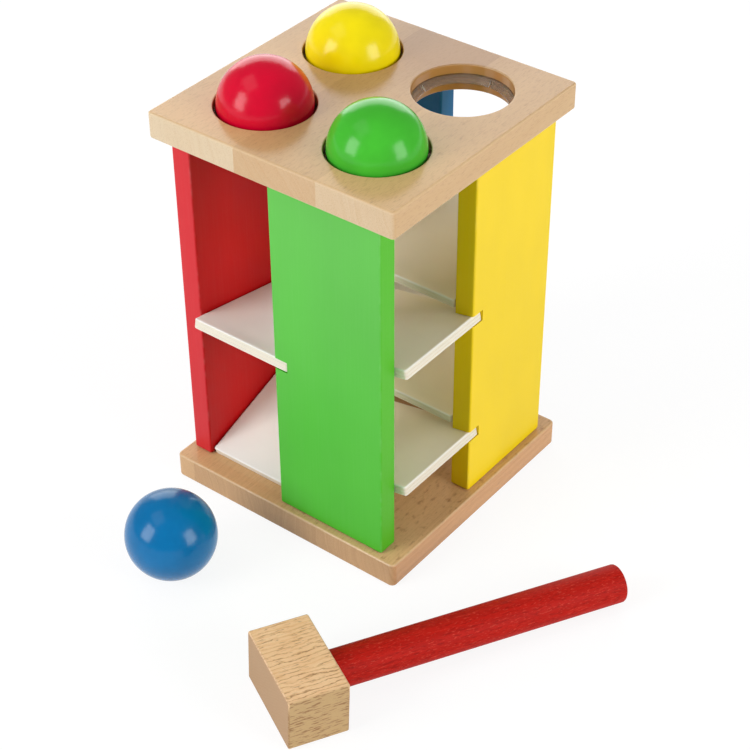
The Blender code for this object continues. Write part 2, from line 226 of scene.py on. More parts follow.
# Paint of each panel's broad faces and narrow edges, and how far the broad faces are paled at the top by a
# painted sheen. The edge paints are painted light and shade: paler on the red panel, darker on the green and
# yellow ones.
PAINTS = {
    "red": (linear(203, 6, 10), linear(212, 43, 51), 0.006),
    "green": (linear(78, 192, 46), linear(82, 184, 33), 0.06),
    "yellow": (linear(247, 214, 4), linear(236, 204, 0), 0.012),
    "blue": (linear(0, 106, 164), linear(0, 106, 164), 0.006),
}
LACQUERS = {
    "red": linear(222, 4, 48),
    "green": linear(70, 191, 50),
    "yellow": linear(255, 234, 9),
    "blue": linear(0, 112, 172),
}
CLEAR_PLASTIC = (linear(206, 180, 154), linear(216, 192, 168))
WHITE = linear(255, 255, 255)
WHITE_PAINT = linear(253, 252, 246)
CREAM_PAINT = linear(254, 243, 214)
EDGE_PAINT = linear(234, 227, 208)
PLY_LINE = linear(206, 192, 170)
HANDLE_RED = linear(188, 28, 18)
HANDLE_FLECK = linear(222, 84, 66)
HANDLE_GRAIN = linear(118, 8, 4)

# Staves of the plates: where each starts on X, its end's lightness, the tilt of its growth rings, a shift
# of its pattern and its face's lightness
TOP_STAVES = (
    (-0.0775, 0.95, 0.12, 0.10, 0.62),
    (-0.0208, 0.45, 0.42, 0.55, 0.46),
    (0.0308, 0.74, 0.25, 0.85, 0.69),
)
BASE_STAVES = (
    (-0.0775, 0.70, 0.30, 0.30, 0.50),
    (-0.0649, 0.30, 0.15, 0.75, 0.50),
    (-0.0133, 0.24, 0.05, 0.20, 0.46),
    (0.0383, 0.20, 0.10, 0.60, 0.54),
)

# Strength of the plates' flecks, pores, growth rings, figure on the flat faces and darker heart
TOP_FIGURE = (0.16, 0.20, 0.50, 0.45, 0.42)
BASE_FIGURE = (0.60, 0.18, 1.10, 1.00, 0.0)

# Figure of the plates, in millimetres
HEART = (6.0, 66.0, top_high.z * MILLIMETRES)  # middle of the top's darker heart
HEART_REACH = (12.0, 52.0)
FACE_FALLOFF_SHADE = -0.0026  # painted shade: change of the faces' lightness for each millimetre towards the back, darker further back
RING_WANDER = 14.0
STAVE_SHIFT = 400.0  # between the patterns of staves whose shifts are 1 apart
FLECK_START = (-20.0, 20.0)  # on X, where the flecks come in

# Grain of the hammer's head, on its own axes in millimetres
LINES_ON_Y = 0.36  # grain lines for each millimetre
LINES_ON_Z = 0.50
LINE_WANDER = 3.0  # in lines
LINE_FADE = (2.0, 12.0)  # on Y, where the lines grow faint
EDGE_SHADE_TO_HIGHLIGHT = (8.0, 14.0)  # on Z, where the edges turn from painted shade below to a painted highlight above, broken by wear chips

# How uneven each ball's lacquer is
LACQUER_RELIEF = {"red": 0.00020, "green": 0.00005, "yellow": 0.00006, "blue": 0.00005}


# Outlines and meshes


def quarter_turn(side):
    return Matrix.Rotation(side * math.pi / 2, 4, "Z")


def own_box(node, side):
    """A node's box, turned back to the -Y side."""
    low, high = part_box(node)
    back = quarter_turn(-side)
    one, other = back @ low, back @ high
    return Vector(map(min, one, other)), Vector(map(max, one, other))


def filleted(corners, steps, closed=True):
    """Points of an outline whose corners, given as x, y and a radius, are turned into arcs."""
    points = []
    for index, (x, y, radius) in enumerate(corners):
        corner = Vector((x, y))
        if radius == 0 or (not closed and index in (0, len(corners) - 1)):
            points.append(corner)
            continue
        before = (Vector(corners[index - 1][:2]) - corner).normalized()
        after = (Vector(corners[(index + 1) % len(corners)][:2]) - corner).normalized()
        half = before.angle(after) / 2
        centre = corner + (before + after).normalized() * radius / math.sin(half)
        arm = corner + before * radius / math.tan(half) - centre
        turn = math.copysign(math.pi - 2 * half, arm.cross(corner - centre))
        for step in range(steps + 1):
            points.append(centre + Matrix.Rotation(turn * step / steps, 2) @ arm)
    return points


def rectangle(low_x, low_y, high_x, high_y, radius):
    corners = ((low_x, low_y), (high_x, low_y), (high_x, high_y), (low_x, high_y))
    return filleted([(*corner, radius) for corner in corners], CORNER_STEPS)


def drawn_in(outline, inset):
    """An outline, counted anticlockwise, moved inwards by inset."""
    moved = []
    for index, point in enumerate(outline):
        before = (point - outline[index - 1]).normalized()
        after = (outline[(index + 1) % len(outline)] - point).normalized()
        inward = Vector((-before.y - after.y, before.x + after.x))
        moved.append(point + inward * inset / (1 + before.dot(after)))
    return moved


def edge_loops(low, high, radius):
    """Inset, height, edge mark (worn edges and painted light) and ply mark of the loops of a board with
    rounded edges, from its underside up.
    """
    arc = []
    for step in range(EDGE_STEPS + 1):
        angle = step / EDGE_STEPS * math.pi / 2
        arc.append((radius * (1 - math.sin(angle)), radius * (1 - math.cos(angle)), math.sin(2 * angle)))
    lower = [(inset, low + rise, edge_wear_and_light, 0.0) for inset, rise, edge_wear_and_light in arc]
    upper = [(inset, high - rise, edge_wear_and_light, 0.0) for inset, rise, edge_wear_and_light in reversed(arc)]
    return lower, upper


def finished_mesh(name, bm):
    bmesh.ops.recalc_face_normals(bm, faces=bm.faces[:])
    mesh = bpy.data.meshes.new(name)
    bm.to_mesh(mesh)
    bm.free()
    return mesh


def board(name, outline, loops, place=Matrix()):
    """A closed board: the outline at each loop's height, drawn in by the loop's inset."""
    bm = bmesh.new()
    edge_wear_and_light_mark = bm.verts.layers.float.new(EDGE_WEAR_AND_LIGHT)
    ply_mark = bm.verts.layers.float.new(PLY)
    rings = []
    for inset, height, edge_wear_and_light, ply in loops:
        ring = [bm.verts.new((x, y, height)) for x, y in drawn_in(outline, inset)]
        for vert in ring:
            vert[edge_wear_and_light_mark] = edge_wear_and_light
            vert[ply_mark] = ply
        rings.append(ring)
    for lower, upper in zip(rings, rings[1:]):
        for index in range(len(outline)):
            bm.faces.new((lower[index - 1], lower[index], upper[index], upper[index - 1]))
    bm.faces.new(list(reversed(rings[0])))
    bm.faces.new(rings[-1])
    bmesh.ops.transform(bm, matrix=place, verts=bm.verts[:])
    return finished_mesh(name, bm)


def prism(name, outline, low, high, place=Matrix()):
    return board(name, outline, [(0, low, 0, 0), (0, high, 0, 0)], place)


def turned(name, profile, segments, closed=False, place=Matrix()):
    """A profile of radius and height, turned about Z. A closed profile makes a ring."""
    bm = bmesh.new()
    verts = [bm.verts.new((radius, 0, height)) for radius, height in profile]
    pairs = list(zip(verts, verts[1:]))
    if closed:
        pairs.append((verts[-1], verts[0]))
    edges = [bm.edges.new(pair) for pair in pairs]
    bmesh.ops.spin(
        bm,
        geom=verts + edges,
        axis=(0, 0, 1),
        cent=(0, 0, 0),
        angle=2 * math.pi,
        steps=segments,
        use_merge=True,
    )
    bmesh.ops.remove_doubles(bm, verts=bm.verts[:], dist=WELD)
    bmesh.ops.transform(bm, matrix=place, verts=bm.verts[:])
    return finished_mesh(name, bm)


def temporary(mesh):
    holder = bpy.data.objects.new(mesh.name, mesh)
    bpy.context.scene.collection.objects.link(holder)
    return holder


def carved(mesh, tools, operation="DIFFERENCE"):
    """The mesh with each of the tool meshes cut out of it, or added to it."""
    body = temporary(mesh)
    cutters = [temporary(tool) for tool in tools]
    for cutter in cutters:
        boolean = body.modifiers.new("cut", "BOOLEAN")
        boolean.operation = operation
        boolean.solver = "EXACT"
        boolean.object = cutter
    result = bpy.data.meshes.new_from_object(body.evaluated_get(bpy.context.evaluated_depsgraph_get()))
    for extra in [body] + cutters:
        bpy.data.objects.remove(extra)
    keep_marks(result, mesh)
    return result


def keep_marks(result, original):
    """Gives a carved mesh's corners the marks of the original's, and none to corners that a cut made."""
    corners = kdtree.KDTree(len(original.vertices))
    for vert in original.vertices:
        corners.insert(vert.co, vert.index)
    corners.balance()
    for name in (EDGE_WEAR_AND_LIGHT, PLY):
        if name not in original.attributes:
            continue
        before, after = original.attributes[name].data, result.attributes[name].data
        for vert in result.vertices:
            _, nearest, distance = corners.find(vert.co)
            after[vert.index].value = before[nearest].value if distance < SAME_PLACE else 0.0


def mark_faces(mesh, name, axis):
    """Marks on each face how squarely it faces along axis."""
    mark = mesh.attributes.new(name, "FLOAT", "FACE")
    for face in mesh.polygons:
        mark.data[face.index].value = abs(face.normal.dot(axis))


def add_piece(node, mesh, finish, body, place=Matrix(), large_flats=True):
    """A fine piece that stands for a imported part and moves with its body."""
    mesh.materials.clear()
    mesh.materials.append(finish)
    mesh.shade_smooth()
    mesh.set_sharp_from_angle(angle=SHARP_ANGLE)
    piece = bpy.data.objects.new("fine_" + node, mesh)
    bpy.context.scene.collection.objects.link(piece)
    piece.matrix_world = place
    if large_flats:
        shading = piece.modifiers.new("flats stay flat", "WEIGHTED_NORMAL")
        shading.keep_sharp = True
        shading.weight = FLATS_LEAD
    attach(piece, body)
    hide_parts(node)
    return piece


# Finishes


def darkened(colour, share):
    """A linear colour at a share of its brightness."""
    return tuple(channel * share for channel in colour[:3]) + (1.0,)


def paled(colour, share):
    """A linear colour moved a share of the way to white."""
    return tuple(channel + (1 - channel) * share for channel in colour[:3]) + (1.0,)


class Nodes:
    """A node tree, and short ways to add nodes to it."""

    MIX_FACTOR, MIX_A, MIX_B, MIX_RESULT = 0, 6, 7, 2

    def __init__(self, tree):
        self.tree = tree

    def feed(self, socket, value):
        if isinstance(value, bpy.types.NodeSocket):
            self.tree.links.new(value, socket)
        else:
            socket.default_value = value

    def add(self, kind, inputs, **settings):
        made = self.tree.nodes.new(kind)
        for key, value in settings.items():
            setattr(made, key, value)
        for key, value in inputs.items():
            self.feed(made.inputs[key], value)
        return made

    def coordinates(self, kind):
        return self.add("ShaderNodeTexCoord", {}).outputs[kind]

    def place(self):
        """The piece's own coordinates in millimetres."""
        return self.stretched(self.coordinates("Object"), (MILLIMETRES, MILLIMETRES, MILLIMETRES))

    def stretched(self, vector, scale, shift=(0, 0, 0)):
        inputs = {"Vector": vector, "Scale": scale, "Location": shift}
        return self.add("ShaderNodeMapping", inputs).outputs["Vector"]

    def axes(self, vector):
        return self.add("ShaderNodeSeparateXYZ", {"Vector": vector}).outputs

    def noise(self, vector, scale=1.0, detail=2.0, roughness=0.5):
        inputs = {"Vector": vector, "Scale": scale, "Detail": detail, "Roughness": roughness}
        return self.add("ShaderNodeTexNoise", inputs).outputs["Fac"]

    def line_noise(self, position, scale):
        inputs = {"W": position, "Scale": scale}
        return self.add("ShaderNodeTexNoise", inputs, noise_dimensions="1D").outputs["Fac"]

    def measure(self, operation, *vectors):
        """A number taken from one or two vectors, such as a distance."""
        inputs = dict(enumerate(vectors))
        return self.add("ShaderNodeVectorMath", inputs, operation=operation).outputs["Value"]

    def math(self, operation, *values):
        return self.add("ShaderNodeMath", dict(enumerate(values)), operation=operation).outputs["Value"]

    def plus(self, one, other):
        return self.math("ADD", one, other)

    def minus(self, one, other):
        return self.math("SUBTRACT", one, other)

    def times(self, one, other):
        return self.math("MULTIPLY", one, other)

    def larger(self, one, other):
        return self.math("MAXIMUM", one, other)

    def span(self, value, from_low, from_high, to_low=0.0, to_high=1.0):
        """The value moved from one range to another, held at the ends."""
        names = ("Value", "From Min", "From Max", "To Min", "To Max")
        inputs = dict(zip(names, (value, from_low, from_high, to_low, to_high)))
        return self.add("ShaderNodeMapRange", inputs).outputs["Result"]

    def mix(self, factor, one, other):
        inputs = {self.MIX_FACTOR: factor, self.MIX_A: one, self.MIX_B: other}
        return self.add("ShaderNodeMix", inputs, data_type="RGBA").outputs[self.MIX_RESULT]

    def mark(self, name):
        return self.add("ShaderNodeAttribute", {}, attribute_name=name).outputs["Fac"]

    def bump(self, height, depth, strength):
        inputs = {"Height": height, "Distance": depth, "Strength": strength}
        return self.add("ShaderNodeBump", inputs).outputs["Normal"]

    def steps(self, value, stops):
        """Four numbers for each stretch of the value, which change at once at each stop."""
        made = self.add("ShaderNodeValToRGB", {"Fac": value})
        ramp = made.color_ramp
        ramp.interpolation = "CONSTANT"
        while len(ramp.elements) < len(stops):
            ramp.elements.new(1.0)
        for element, (position, numbers) in zip(ramp.elements, stops):
            element.position = position
            element.color = numbers
        channels = self.add("ShaderNodeSeparateColor", {"Color": made.outputs["Color"]}).outputs
        return *channels, made.outputs["Alpha"]


class Finish(Nodes):
    """A material with a Principled shader."""

    def __init__(self, name):
        self.material = bpy.data.materials.new(name)
        self.material.use_nodes = True
        super().__init__(self.material.node_tree)
        self.shader = self.tree.nodes["Principled BSDF"]

    def surface(self, **inputs):
        """Feeds the shader. A socket's name is written with _ for its spaces."""
        for key, value in inputs.items():
            self.feed(self.shader.inputs[key.replace("_", " ")], value)


def beech(name, staves, end_colours, face_colours, side_colours, figure):
    """Glued beech staves along Y: growth rings, dark flecks, glossy varnish, painted highlights and painted
    shade.
    """
    wood = Finish(name)
    fleck_share, pore_share, ring_share, face_share, heart_share = figure
    spot = wood.place()
    x, y, z = wood.axes(spot)
    half = PLATE_HALF * MILLIMETRES
    stops = [((start + PLATE_HALF) / (2 * PLATE_HALF), traits) for start, *traits in staves]
    tone, tilt, shift, face_tone = wood.steps(wood.span(x, -half, half), stops)
    # painted shade: the faces darken towards the back
    face_tone = wood.plus(face_tone, wood.times(y, FACE_FALLOFF_SHADE))
    heart = wood.span(wood.measure("DISTANCE", spot, HEART), *HEART_REACH, heart_share, 0.0)
    face_tone = wood.minus(face_tone, heart)
    end_grain = wood.span(wood.mark(END_GRAIN), 0.3, 0.9)
    flat = wood.span(wood.mark(FLAT), 0.3, 0.9)

    wander = wood.noise(wood.stretched(spot, (0.03, 0.004, 0.03)), detail=3.0)
    angle = wood.times(tilt, math.pi / 2)
    across = wood.times(x, wood.math("COSINE", angle))
    across = wood.plus(across, wood.times(z, wood.math("SINE", angle)))
    across = wood.plus(across, wood.times(wander, RING_WANDER))
    across = wood.plus(across, wood.times(shift, STAVE_SHIFT))
    rings = wood.line_noise(across, 0.30)
    fine_rings = wood.line_noise(across, 1.0)
    fibres = wood.noise(wood.stretched(spot, (1.8, 0.10, 1.8)), detail=3.0, roughness=0.6)
    cloud = wood.noise(wood.stretched(spot, (0.05, 0.02, 0.05)))
    fleck_noise = wood.noise(wood.stretched(spot, (0.34, 0.17, 0.34)), detail=3.0)
    flecks = wood.times(wood.span(fleck_noise, 0.56, 0.74), flat)
    flecks = wood.times(flecks, wood.span(x, *FLECK_START))
    pores = wood.span(wood.noise(wood.stretched(spot, (2.2, 0.30, 2.2)), detail=1.0), 0.56, 0.68)

    waves = wood.minus(wood.plus(rings, fine_rings), 1.0)
    level = wood.times(waves, 0.4 * ring_share)
    level = wood.plus(level, wood.times(wood.minus(fibres, 0.5), 0.22))
    level = wood.plus(level, wood.times(wood.minus(cloud, 0.5), 0.15))
    end_colour = wood.mix(wood.plus(level, tone), *end_colours)
    side_colour = wood.mix(wood.plus(level, 0.5), *side_colours)
    face_colour = wood.mix(wood.plus(wood.times(level, face_share), face_tone), *face_colours)
    colour = wood.mix(flat, side_colour, face_colour)
    colour = wood.mix(end_grain, colour, end_colour)
    colour = wood.mix(wood.times(flecks, fleck_share), colour, BEECH_FLECK)
    colour = wood.mix(wood.times(pores, pore_share), colour, BEECH_FLECK)
    # painted shade inside the ball holes
    colour = wood.mix(wood.times(wood.mark(SHADED_BORE), 0.85), colour, BEECH_BORE_SHADE)
    # painted highlight along the rounded edges
    colour = wood.mix(wood.times(wood.mark(EDGE_WEAR_AND_LIGHT), 0.4), colour, BEECH_EDGE_HIGHLIGHT)
    relief = wood.minus(wood.times(fibres, 0.4), wood.plus(flecks, pores))
    wood.surface(
        Base_Color=colour,
        Roughness=wood.span(fibres, 0.3, 0.7, 0.17, 0.23),
        Specular_IOR_Level=0.40,
        Normal=wood.bump(relief, 0.00002, 0.3),
    )
    return wood.material


def plain_beech(name):
    """Dowel stock, with the grain along Z."""
    wood = Finish(name)
    fibres = wood.noise(wood.stretched(wood.place(), (1.6, 1.6, 0.05)), detail=3.0, roughness=0.6)
    wood.surface(
        Base_Color=wood.mix(wood.span(fibres, 0.3, 0.7), *DOWEL_BEECH),
        Roughness=0.6,
        Normal=wood.bump(fibres, 0.00005, 0.5),
    )
    return wood.material


def hammer_beech(name):
    """Bare beech with open, wavy grain lines along the handle, which is the piece's own X, and painted shade
    and highlights.
    """
    wood = Finish(name)
    spot = wood.place()
    axes = wood.axes(spot)
    y, z = axes["Y"], axes["Z"]
    end_grain, side_grain = wood.mark(END_GRAIN), wood.mark(SIDE_GRAIN)
    wander = wood.noise(wood.stretched(spot, (0.05, 0.14, 0.14)), detail=4.0, roughness=0.65)
    across = wood.plus(wood.times(y, LINES_ON_Y), wood.times(z, LINES_ON_Z))
    across = wood.plus(across, wood.times(wander, LINE_WANDER))
    from_line = wood.math("ABSOLUTE", wood.minus(wood.math("FRACT", across), 0.5))
    lines = wood.span(from_line, 0.03, 0.12, 1.0, 0.0)
    ridges = wood.span(from_line, 0.15, 0.28)
    breaks = wood.noise(wood.stretched(spot, (0.06, 0.5, 0.5), (7.0, 2.0, 5.0)))
    lines = wood.times(lines, wood.span(breaks, 0.36, 0.56))
    lines = wood.times(lines, wood.span(y, *LINE_FADE, 1.0, 0.4))
    lines = wood.times(lines, wood.span(side_grain, 0.3, 0.8, 1.0, 0.0))
    dash_noise = wood.noise(wood.stretched(spot, (0.20, 1.5, 1.5)))
    dashes = wood.span(wood.plus(dash_noise, wood.times(side_grain, 0.066)), 0.61, 0.69)
    fibres = wood.noise(wood.stretched(spot, (0.10, 2.2, 2.2)), detail=3.0, roughness=0.65)
    cloud = wood.noise(spot, 0.07)
    long_grain = wood.span(end_grain, 0.3, 0.8, 1.0, 0.05)
    open_grain = wood.times(wood.larger(lines, dashes), long_grain)

    level = wood.plus(wood.times(fibres, 0.6), wood.times(cloud, 0.4))
    level = wood.plus(level, wood.times(ridges, 0.15))
    colour = wood.mix(wood.span(level, 0.35, 0.85), HAMMER_DARK, HAMMER_LIGHT)
    # end and side grain, darkened further by painted shade on those faces
    colour = wood.mix(wood.times(end_grain, 0.85), colour, HAMMER_END_GRAIN_AND_SHADE)
    colour = wood.mix(wood.times(side_grain, 0.92), colour, HAMMER_SIDE_GRAIN_AND_SHADE)
    colour = wood.mix(wood.times(open_grain, 0.62), colour, HAMMER_GRAIN)
    chips = wood.span(wood.noise(spot, 0.9), 0.40, 0.60, 0.15, 0.8)
    arris = wood.times(wood.mark(EDGE_WEAR_AND_LIGHT), chips)
    # painted highlight on the upper edges and painted shade on the lower ones, in patches by the wear chips
    colour = wood.mix(wood.times(arris, wood.span(z, *EDGE_SHADE_TO_HIGHLIGHT)), colour, HAMMER_LIGHT)
    colour = wood.mix(wood.times(arris, wood.span(z, *EDGE_SHADE_TO_HIGHLIGHT, 0.7, 0.0)), colour, HAMMER_GRAIN)
    relief = wood.minus(wood.times(fibres, 0.3), open_grain)
    wood.surface(
        Base_Color=colour,
        Roughness=wood.span(fibres, 0.3, 0.7, 0.62, 0.52),
        Specular_IOR_Level=0.3,
        Normal=wood.bump(relief, 0.00018, 0.5),
    )
    return wood.material


def red_stain(name):
    """A stained stick: the grain shows as fine lighter and darker flecks along the piece's own X."""
    wood = Finish(name)
    spot = wood.place()
    streaks = wood.noise(wood.stretched(spot, (0.03, 0.5, 0.5)), detail=3.0, roughness=0.6)
    flecks = wood.span(wood.noise(wood.stretched(spot, (0.40, 1.7, 1.7)), roughness=0.6), 0.57, 0.70)
    pores = wood.span(wood.noise(wood.stretched(spot, (0.25, 1.3, 1.3), (40, 9, 3))), 0.54, 0.64)
    colour = wood.mix(wood.span(streaks, 0.35, 0.65, 0.0, 0.25), HANDLE_RED, HANDLE_GRAIN)
    colour = wood.mix(wood.times(pores, 0.4), colour, HANDLE_GRAIN)
    colour = wood.mix(wood.times(flecks, 0.45), colour, HANDLE_FLECK)
    wood.surface(
        Base_Color=colour,
        Roughness=wood.span(flecks, 0.0, 1.0, 0.55, 0.65),
        Specular_IOR_Level=0.10,
        Normal=wood.bump(wood.minus(flecks, pores), 0.00006, 0.4),
    )
    return wood.material


def paint(name, colour, edge_light_and_shade, top_sheen):
    """Satin paint on wood: a painted sheen towards the top, painted light and shade on the narrow edges,
    rounded edges paled by wear and a painted highlight, the grain just in relief.
    """
    coat = Finish(name)
    spot = coat.place()
    cloud = coat.noise(coat.stretched(spot, (0.02, 0.02, 0.01)))
    grain = coat.noise(coat.stretched(spot, (0.9, 0.9, 0.02)), detail=3.0, roughness=0.6)
    peel = coat.noise(spot, 0.9)
    pale = paled(colour, 0.35)
    shade = coat.mix(coat.span(cloud, 0.35, 0.65), darkened(colour, 0.92), colour)
    bottom, top = base_high.z * MILLIMETRES, top_low.z * MILLIMETRES
    # painted sheen: the broad faces paled towards the top
    shade = coat.mix(coat.span(coat.axes(spot)["Z"], bottom, top, 0.0, top_sheen), shade, WHITE)
    # painted light and shade: the narrow edges take their own paint, lighter on the red panel, darker on the
    # green and yellow
    shade = coat.mix(coat.span(coat.mark(FLAT), 0.3, 0.8), edge_light_and_shade, shade)
    shade = coat.mix(coat.times(coat.span(grain, 0.45, 0.7), 0.02), shade, pale)
    # worn paint and a painted highlight: the rounded edges paled in patches
    patches = coat.span(coat.noise(spot, 0.12), 0.45, 0.75, 0.0, 0.2)
    shade = coat.mix(coat.times(coat.mark(EDGE_WEAR_AND_LIGHT), patches), shade, pale)
    relief = coat.plus(coat.times(grain, 0.5), coat.times(peel, 0.5))
    coat.surface(
        Base_Color=shade,
        Roughness=coat.span(peel, 0.3, 0.7, 0.36, 0.44),
        Specular_IOR_Level=0.2,
        Normal=coat.bump(relief, 0.00002, 0.3),
    )
    return coat.material


def white_paint(name, colour):
    """Paint on plywood, whose plies show as fine lines on the edges, and whose rounded edges carry a painted
    highlight.
    """
    coat = Finish(name)
    spot = coat.place()
    cloud = coat.noise(coat.stretched(spot, (0.03, 0.03, 0.03)))
    grain = coat.noise(coat.stretched(spot, (0.9, 0.9, 0.9)), detail=3.0, roughness=0.6)
    shade = coat.mix(coat.span(cloud, 0.35, 0.65), darkened(colour, 0.95), colour)
    shade = coat.mix(coat.span(coat.mark(FLAT), 0.3, 0.8), EDGE_PAINT, shade)
    shade = coat.mix(coat.times(coat.mark(PLY), 0.8), shade, PLY_LINE)
    # painted highlight: the rounded edges paled towards white
    shade = coat.mix(coat.times(coat.mark(EDGE_WEAR_AND_LIGHT), 0.6), shade, WHITE)
    coat.surface(
        Base_Color=shade,
        Roughness=coat.span(grain, 0.3, 0.7, 0.38, 0.5),
        Specular_IOR_Level=0.45,
        Normal=coat.bump(grain, 0.00003, 0.35),
    )
    return coat.material


def lacquer(name, colour, depth):
    """Glossy lacquer on a turned ball, uneven by about depth."""
    coat = Finish(name)
    spot = coat.place()
    cloud = coat.noise(spot, 0.06)
    peel = coat.noise(spot, 0.30, detail=3.0)
    coat.surface(
        Base_Color=coat.mix(coat.span(cloud, 0.35, 0.65), darkened(colour, 0.9), colour),
        Roughness=coat.span(peel, 0.3, 0.7, 0.17, 0.21),
        Specular_IOR_Level=0.28,
        Normal=coat.bump(peel, depth, 0.4),
    )
    return coat.material


def clear_plastic(name):
    """Milky, flexible plastic with a few faint marks; its slit faces are painted white and opaque as a
    painted glint.
    """
    plastic = Finish(name)
    scuffs = plastic.noise(plastic.stretched(plastic.place(), (0.3, 0.3, 1.2)))
    slit = plastic.mark(GLINTING_SLIT)
    plastic.surface(
        # painted glint: the slit faces white and opaque
        Base_Color=plastic.mix(slit, plastic.mix(scuffs, *CLEAR_PLASTIC), WHITE),
        Roughness=plastic.span(scuffs, 0.4, 0.7, 0.14, 0.18),
        IOR=1.4,
        Transmission_Weight=plastic.span(slit, 0.0, 1.0, 0.75, 0.0),
    )
    return plastic.material


# Pieces of the tower


def plate_mesh(name, low, high, radius, tools):
    outline = rectangle(-PLATE_HALF, -PLATE_HALF, PLATE_HALF, PLATE_HALF, radius)
    lower, upper = edge_loops(low, high, PLATE_EDGE_ROUND)
    mesh = carved(board(name, outline, lower + upper), tools)
    mark_faces(mesh, END_GRAIN, Vector((0, 1, 0)))
    mark_faces(mesh, FLAT, Vector((0, 0, 1)))
    mark_shaded_bores(mesh)
    return mesh


def mark_shaded_bores(mesh):
    """Marks the faces inside the ball holes, which the wood finish darkens with painted shade."""
    mark = mesh.attributes.new(SHADED_BORE, "FLOAT", "FACE")
    for face in mesh.polygons:
        from_axis = math.hypot(abs(face.center.x) - HOLE_CENTRE, abs(face.center.y) - HOLE_CENTRE)
        inside = from_axis < RING_OUTER + CUT_PAST and abs(face.normal.z) < BORE_LEAN
        mark.data[face.index].value = float(inside)


def dowel_socket(node):
    low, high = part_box(node)
    radius = (high.x - low.x) / 2 + GAP
    profile = [(0, high.z + GAP), (radius, high.z + GAP), (radius, low.z - GAP), (0, low.z - GAP)]
    middle = (low + high) / 2
    return turned("socket", profile, DOWEL_SEGMENTS, place=Matrix.Translation((middle.x, middle.y, 0)))


def hole_tool(side):
    """A through hole with rounded rims and the ring's groove."""
    rim = HOLE_RIM_ROUND
    groove_radius = RING_OUTER + GAP
    upper, lower = [], []
    for step in range(EDGE_STEPS + 1):
        angle = step / EDGE_STEPS * math.pi / 2
        out = HOLE_RADIUS + rim * (1 - math.sin(angle))
        upper.append((out, top_high.z - rim * (1 - math.cos(angle))))
        lower.append((out, top_low.z + rim * (1 - math.cos(angle))))
    profile = [(0, top_high.z + CUT_PAST), (HOLE_RADIUS + rim, top_high.z + CUT_PAST), *upper]
    profile += [(HOLE_RADIUS, ring_high.z + GAP), (groove_radius, ring_high.z + GAP)]
    profile += [(groove_radius, ring_low.z - GAP), (HOLE_RADIUS, ring_low.z - GAP)]
    profile += [*reversed(lower), (HOLE_RADIUS + rim, top_low.z - CUT_PAST), (0, top_low.z - CUT_PAST)]
    return turned("hole", profile, HOLE_SEGMENTS, place=Matrix.Translation(hole_centre(side)))


def hole_centre(side):
    return quarter_turn(side) @ Vector((-HOLE_CENTRE, -HOLE_CENTRE, 0))


def ring_mesh(side):
    """A band in the groove and a sloping lip with rounded edges, slit into four."""
    lip_radius = BALL_RADIUS - LIP_REACH
    lip_height = ring_high.z - LIP_DROP
    band_top = ring_high.z - RING_SLOT
    corners = [
        (RING_OUTER, band_top, LIP_ROUND),
        (RING_OUTER, ring_low.z, LIP_ROUND),
        (HOLE_RADIUS, ring_low.z, LIP_ROUND),
        (HOLE_RADIUS, band_top - LIP_ROOT, 0),
        (lip_radius, lip_height - LIP_EDGE, LIP_ROUND),
        (lip_radius, lip_height, LIP_ROUND),
        (HOLE_RADIUS, band_top, LIP_ROUND),
    ]
    place = Matrix.Translation(hole_centre(side))
    ring = turned("ring", filleted(corners, SMALL_STEPS), HOLE_SEGMENTS, closed=True, place=place)
    slit = rectangle(lip_radius - CUT_PAST, -SLIT_WIDTH / 2, HOLE_RADIUS - GAP, SLIT_WIDTH / 2, 0)
    tools = []
    for number in range(SLIT_COUNT):
        turn = Matrix.Rotation(number / SLIT_COUNT * 2 * math.pi, 4, "Z")
        tools.append(prism("slit", slit, ring_low.z - CUT_PAST, ring_high.z + CUT_PAST, place @ turn))
    mesh = carved(ring, tools)
    mark_slit_glints(mesh, hole_centre(side))
    return mesh


def mark_slit_glints(mesh, centre):
    """Marks the faces of a ring's slits, which look along its circle, for their painted glint."""
    mark = mesh.attributes.new(GLINTING_SLIT, "FLOAT", "FACE")
    for face in mesh.polygons:
        along = (face.center - centre).cross(Vector((0, 0, 1))).normalized()
        mark.data[face.index].value = float(abs(face.normal.dot(along)) > SLIT_FACING)


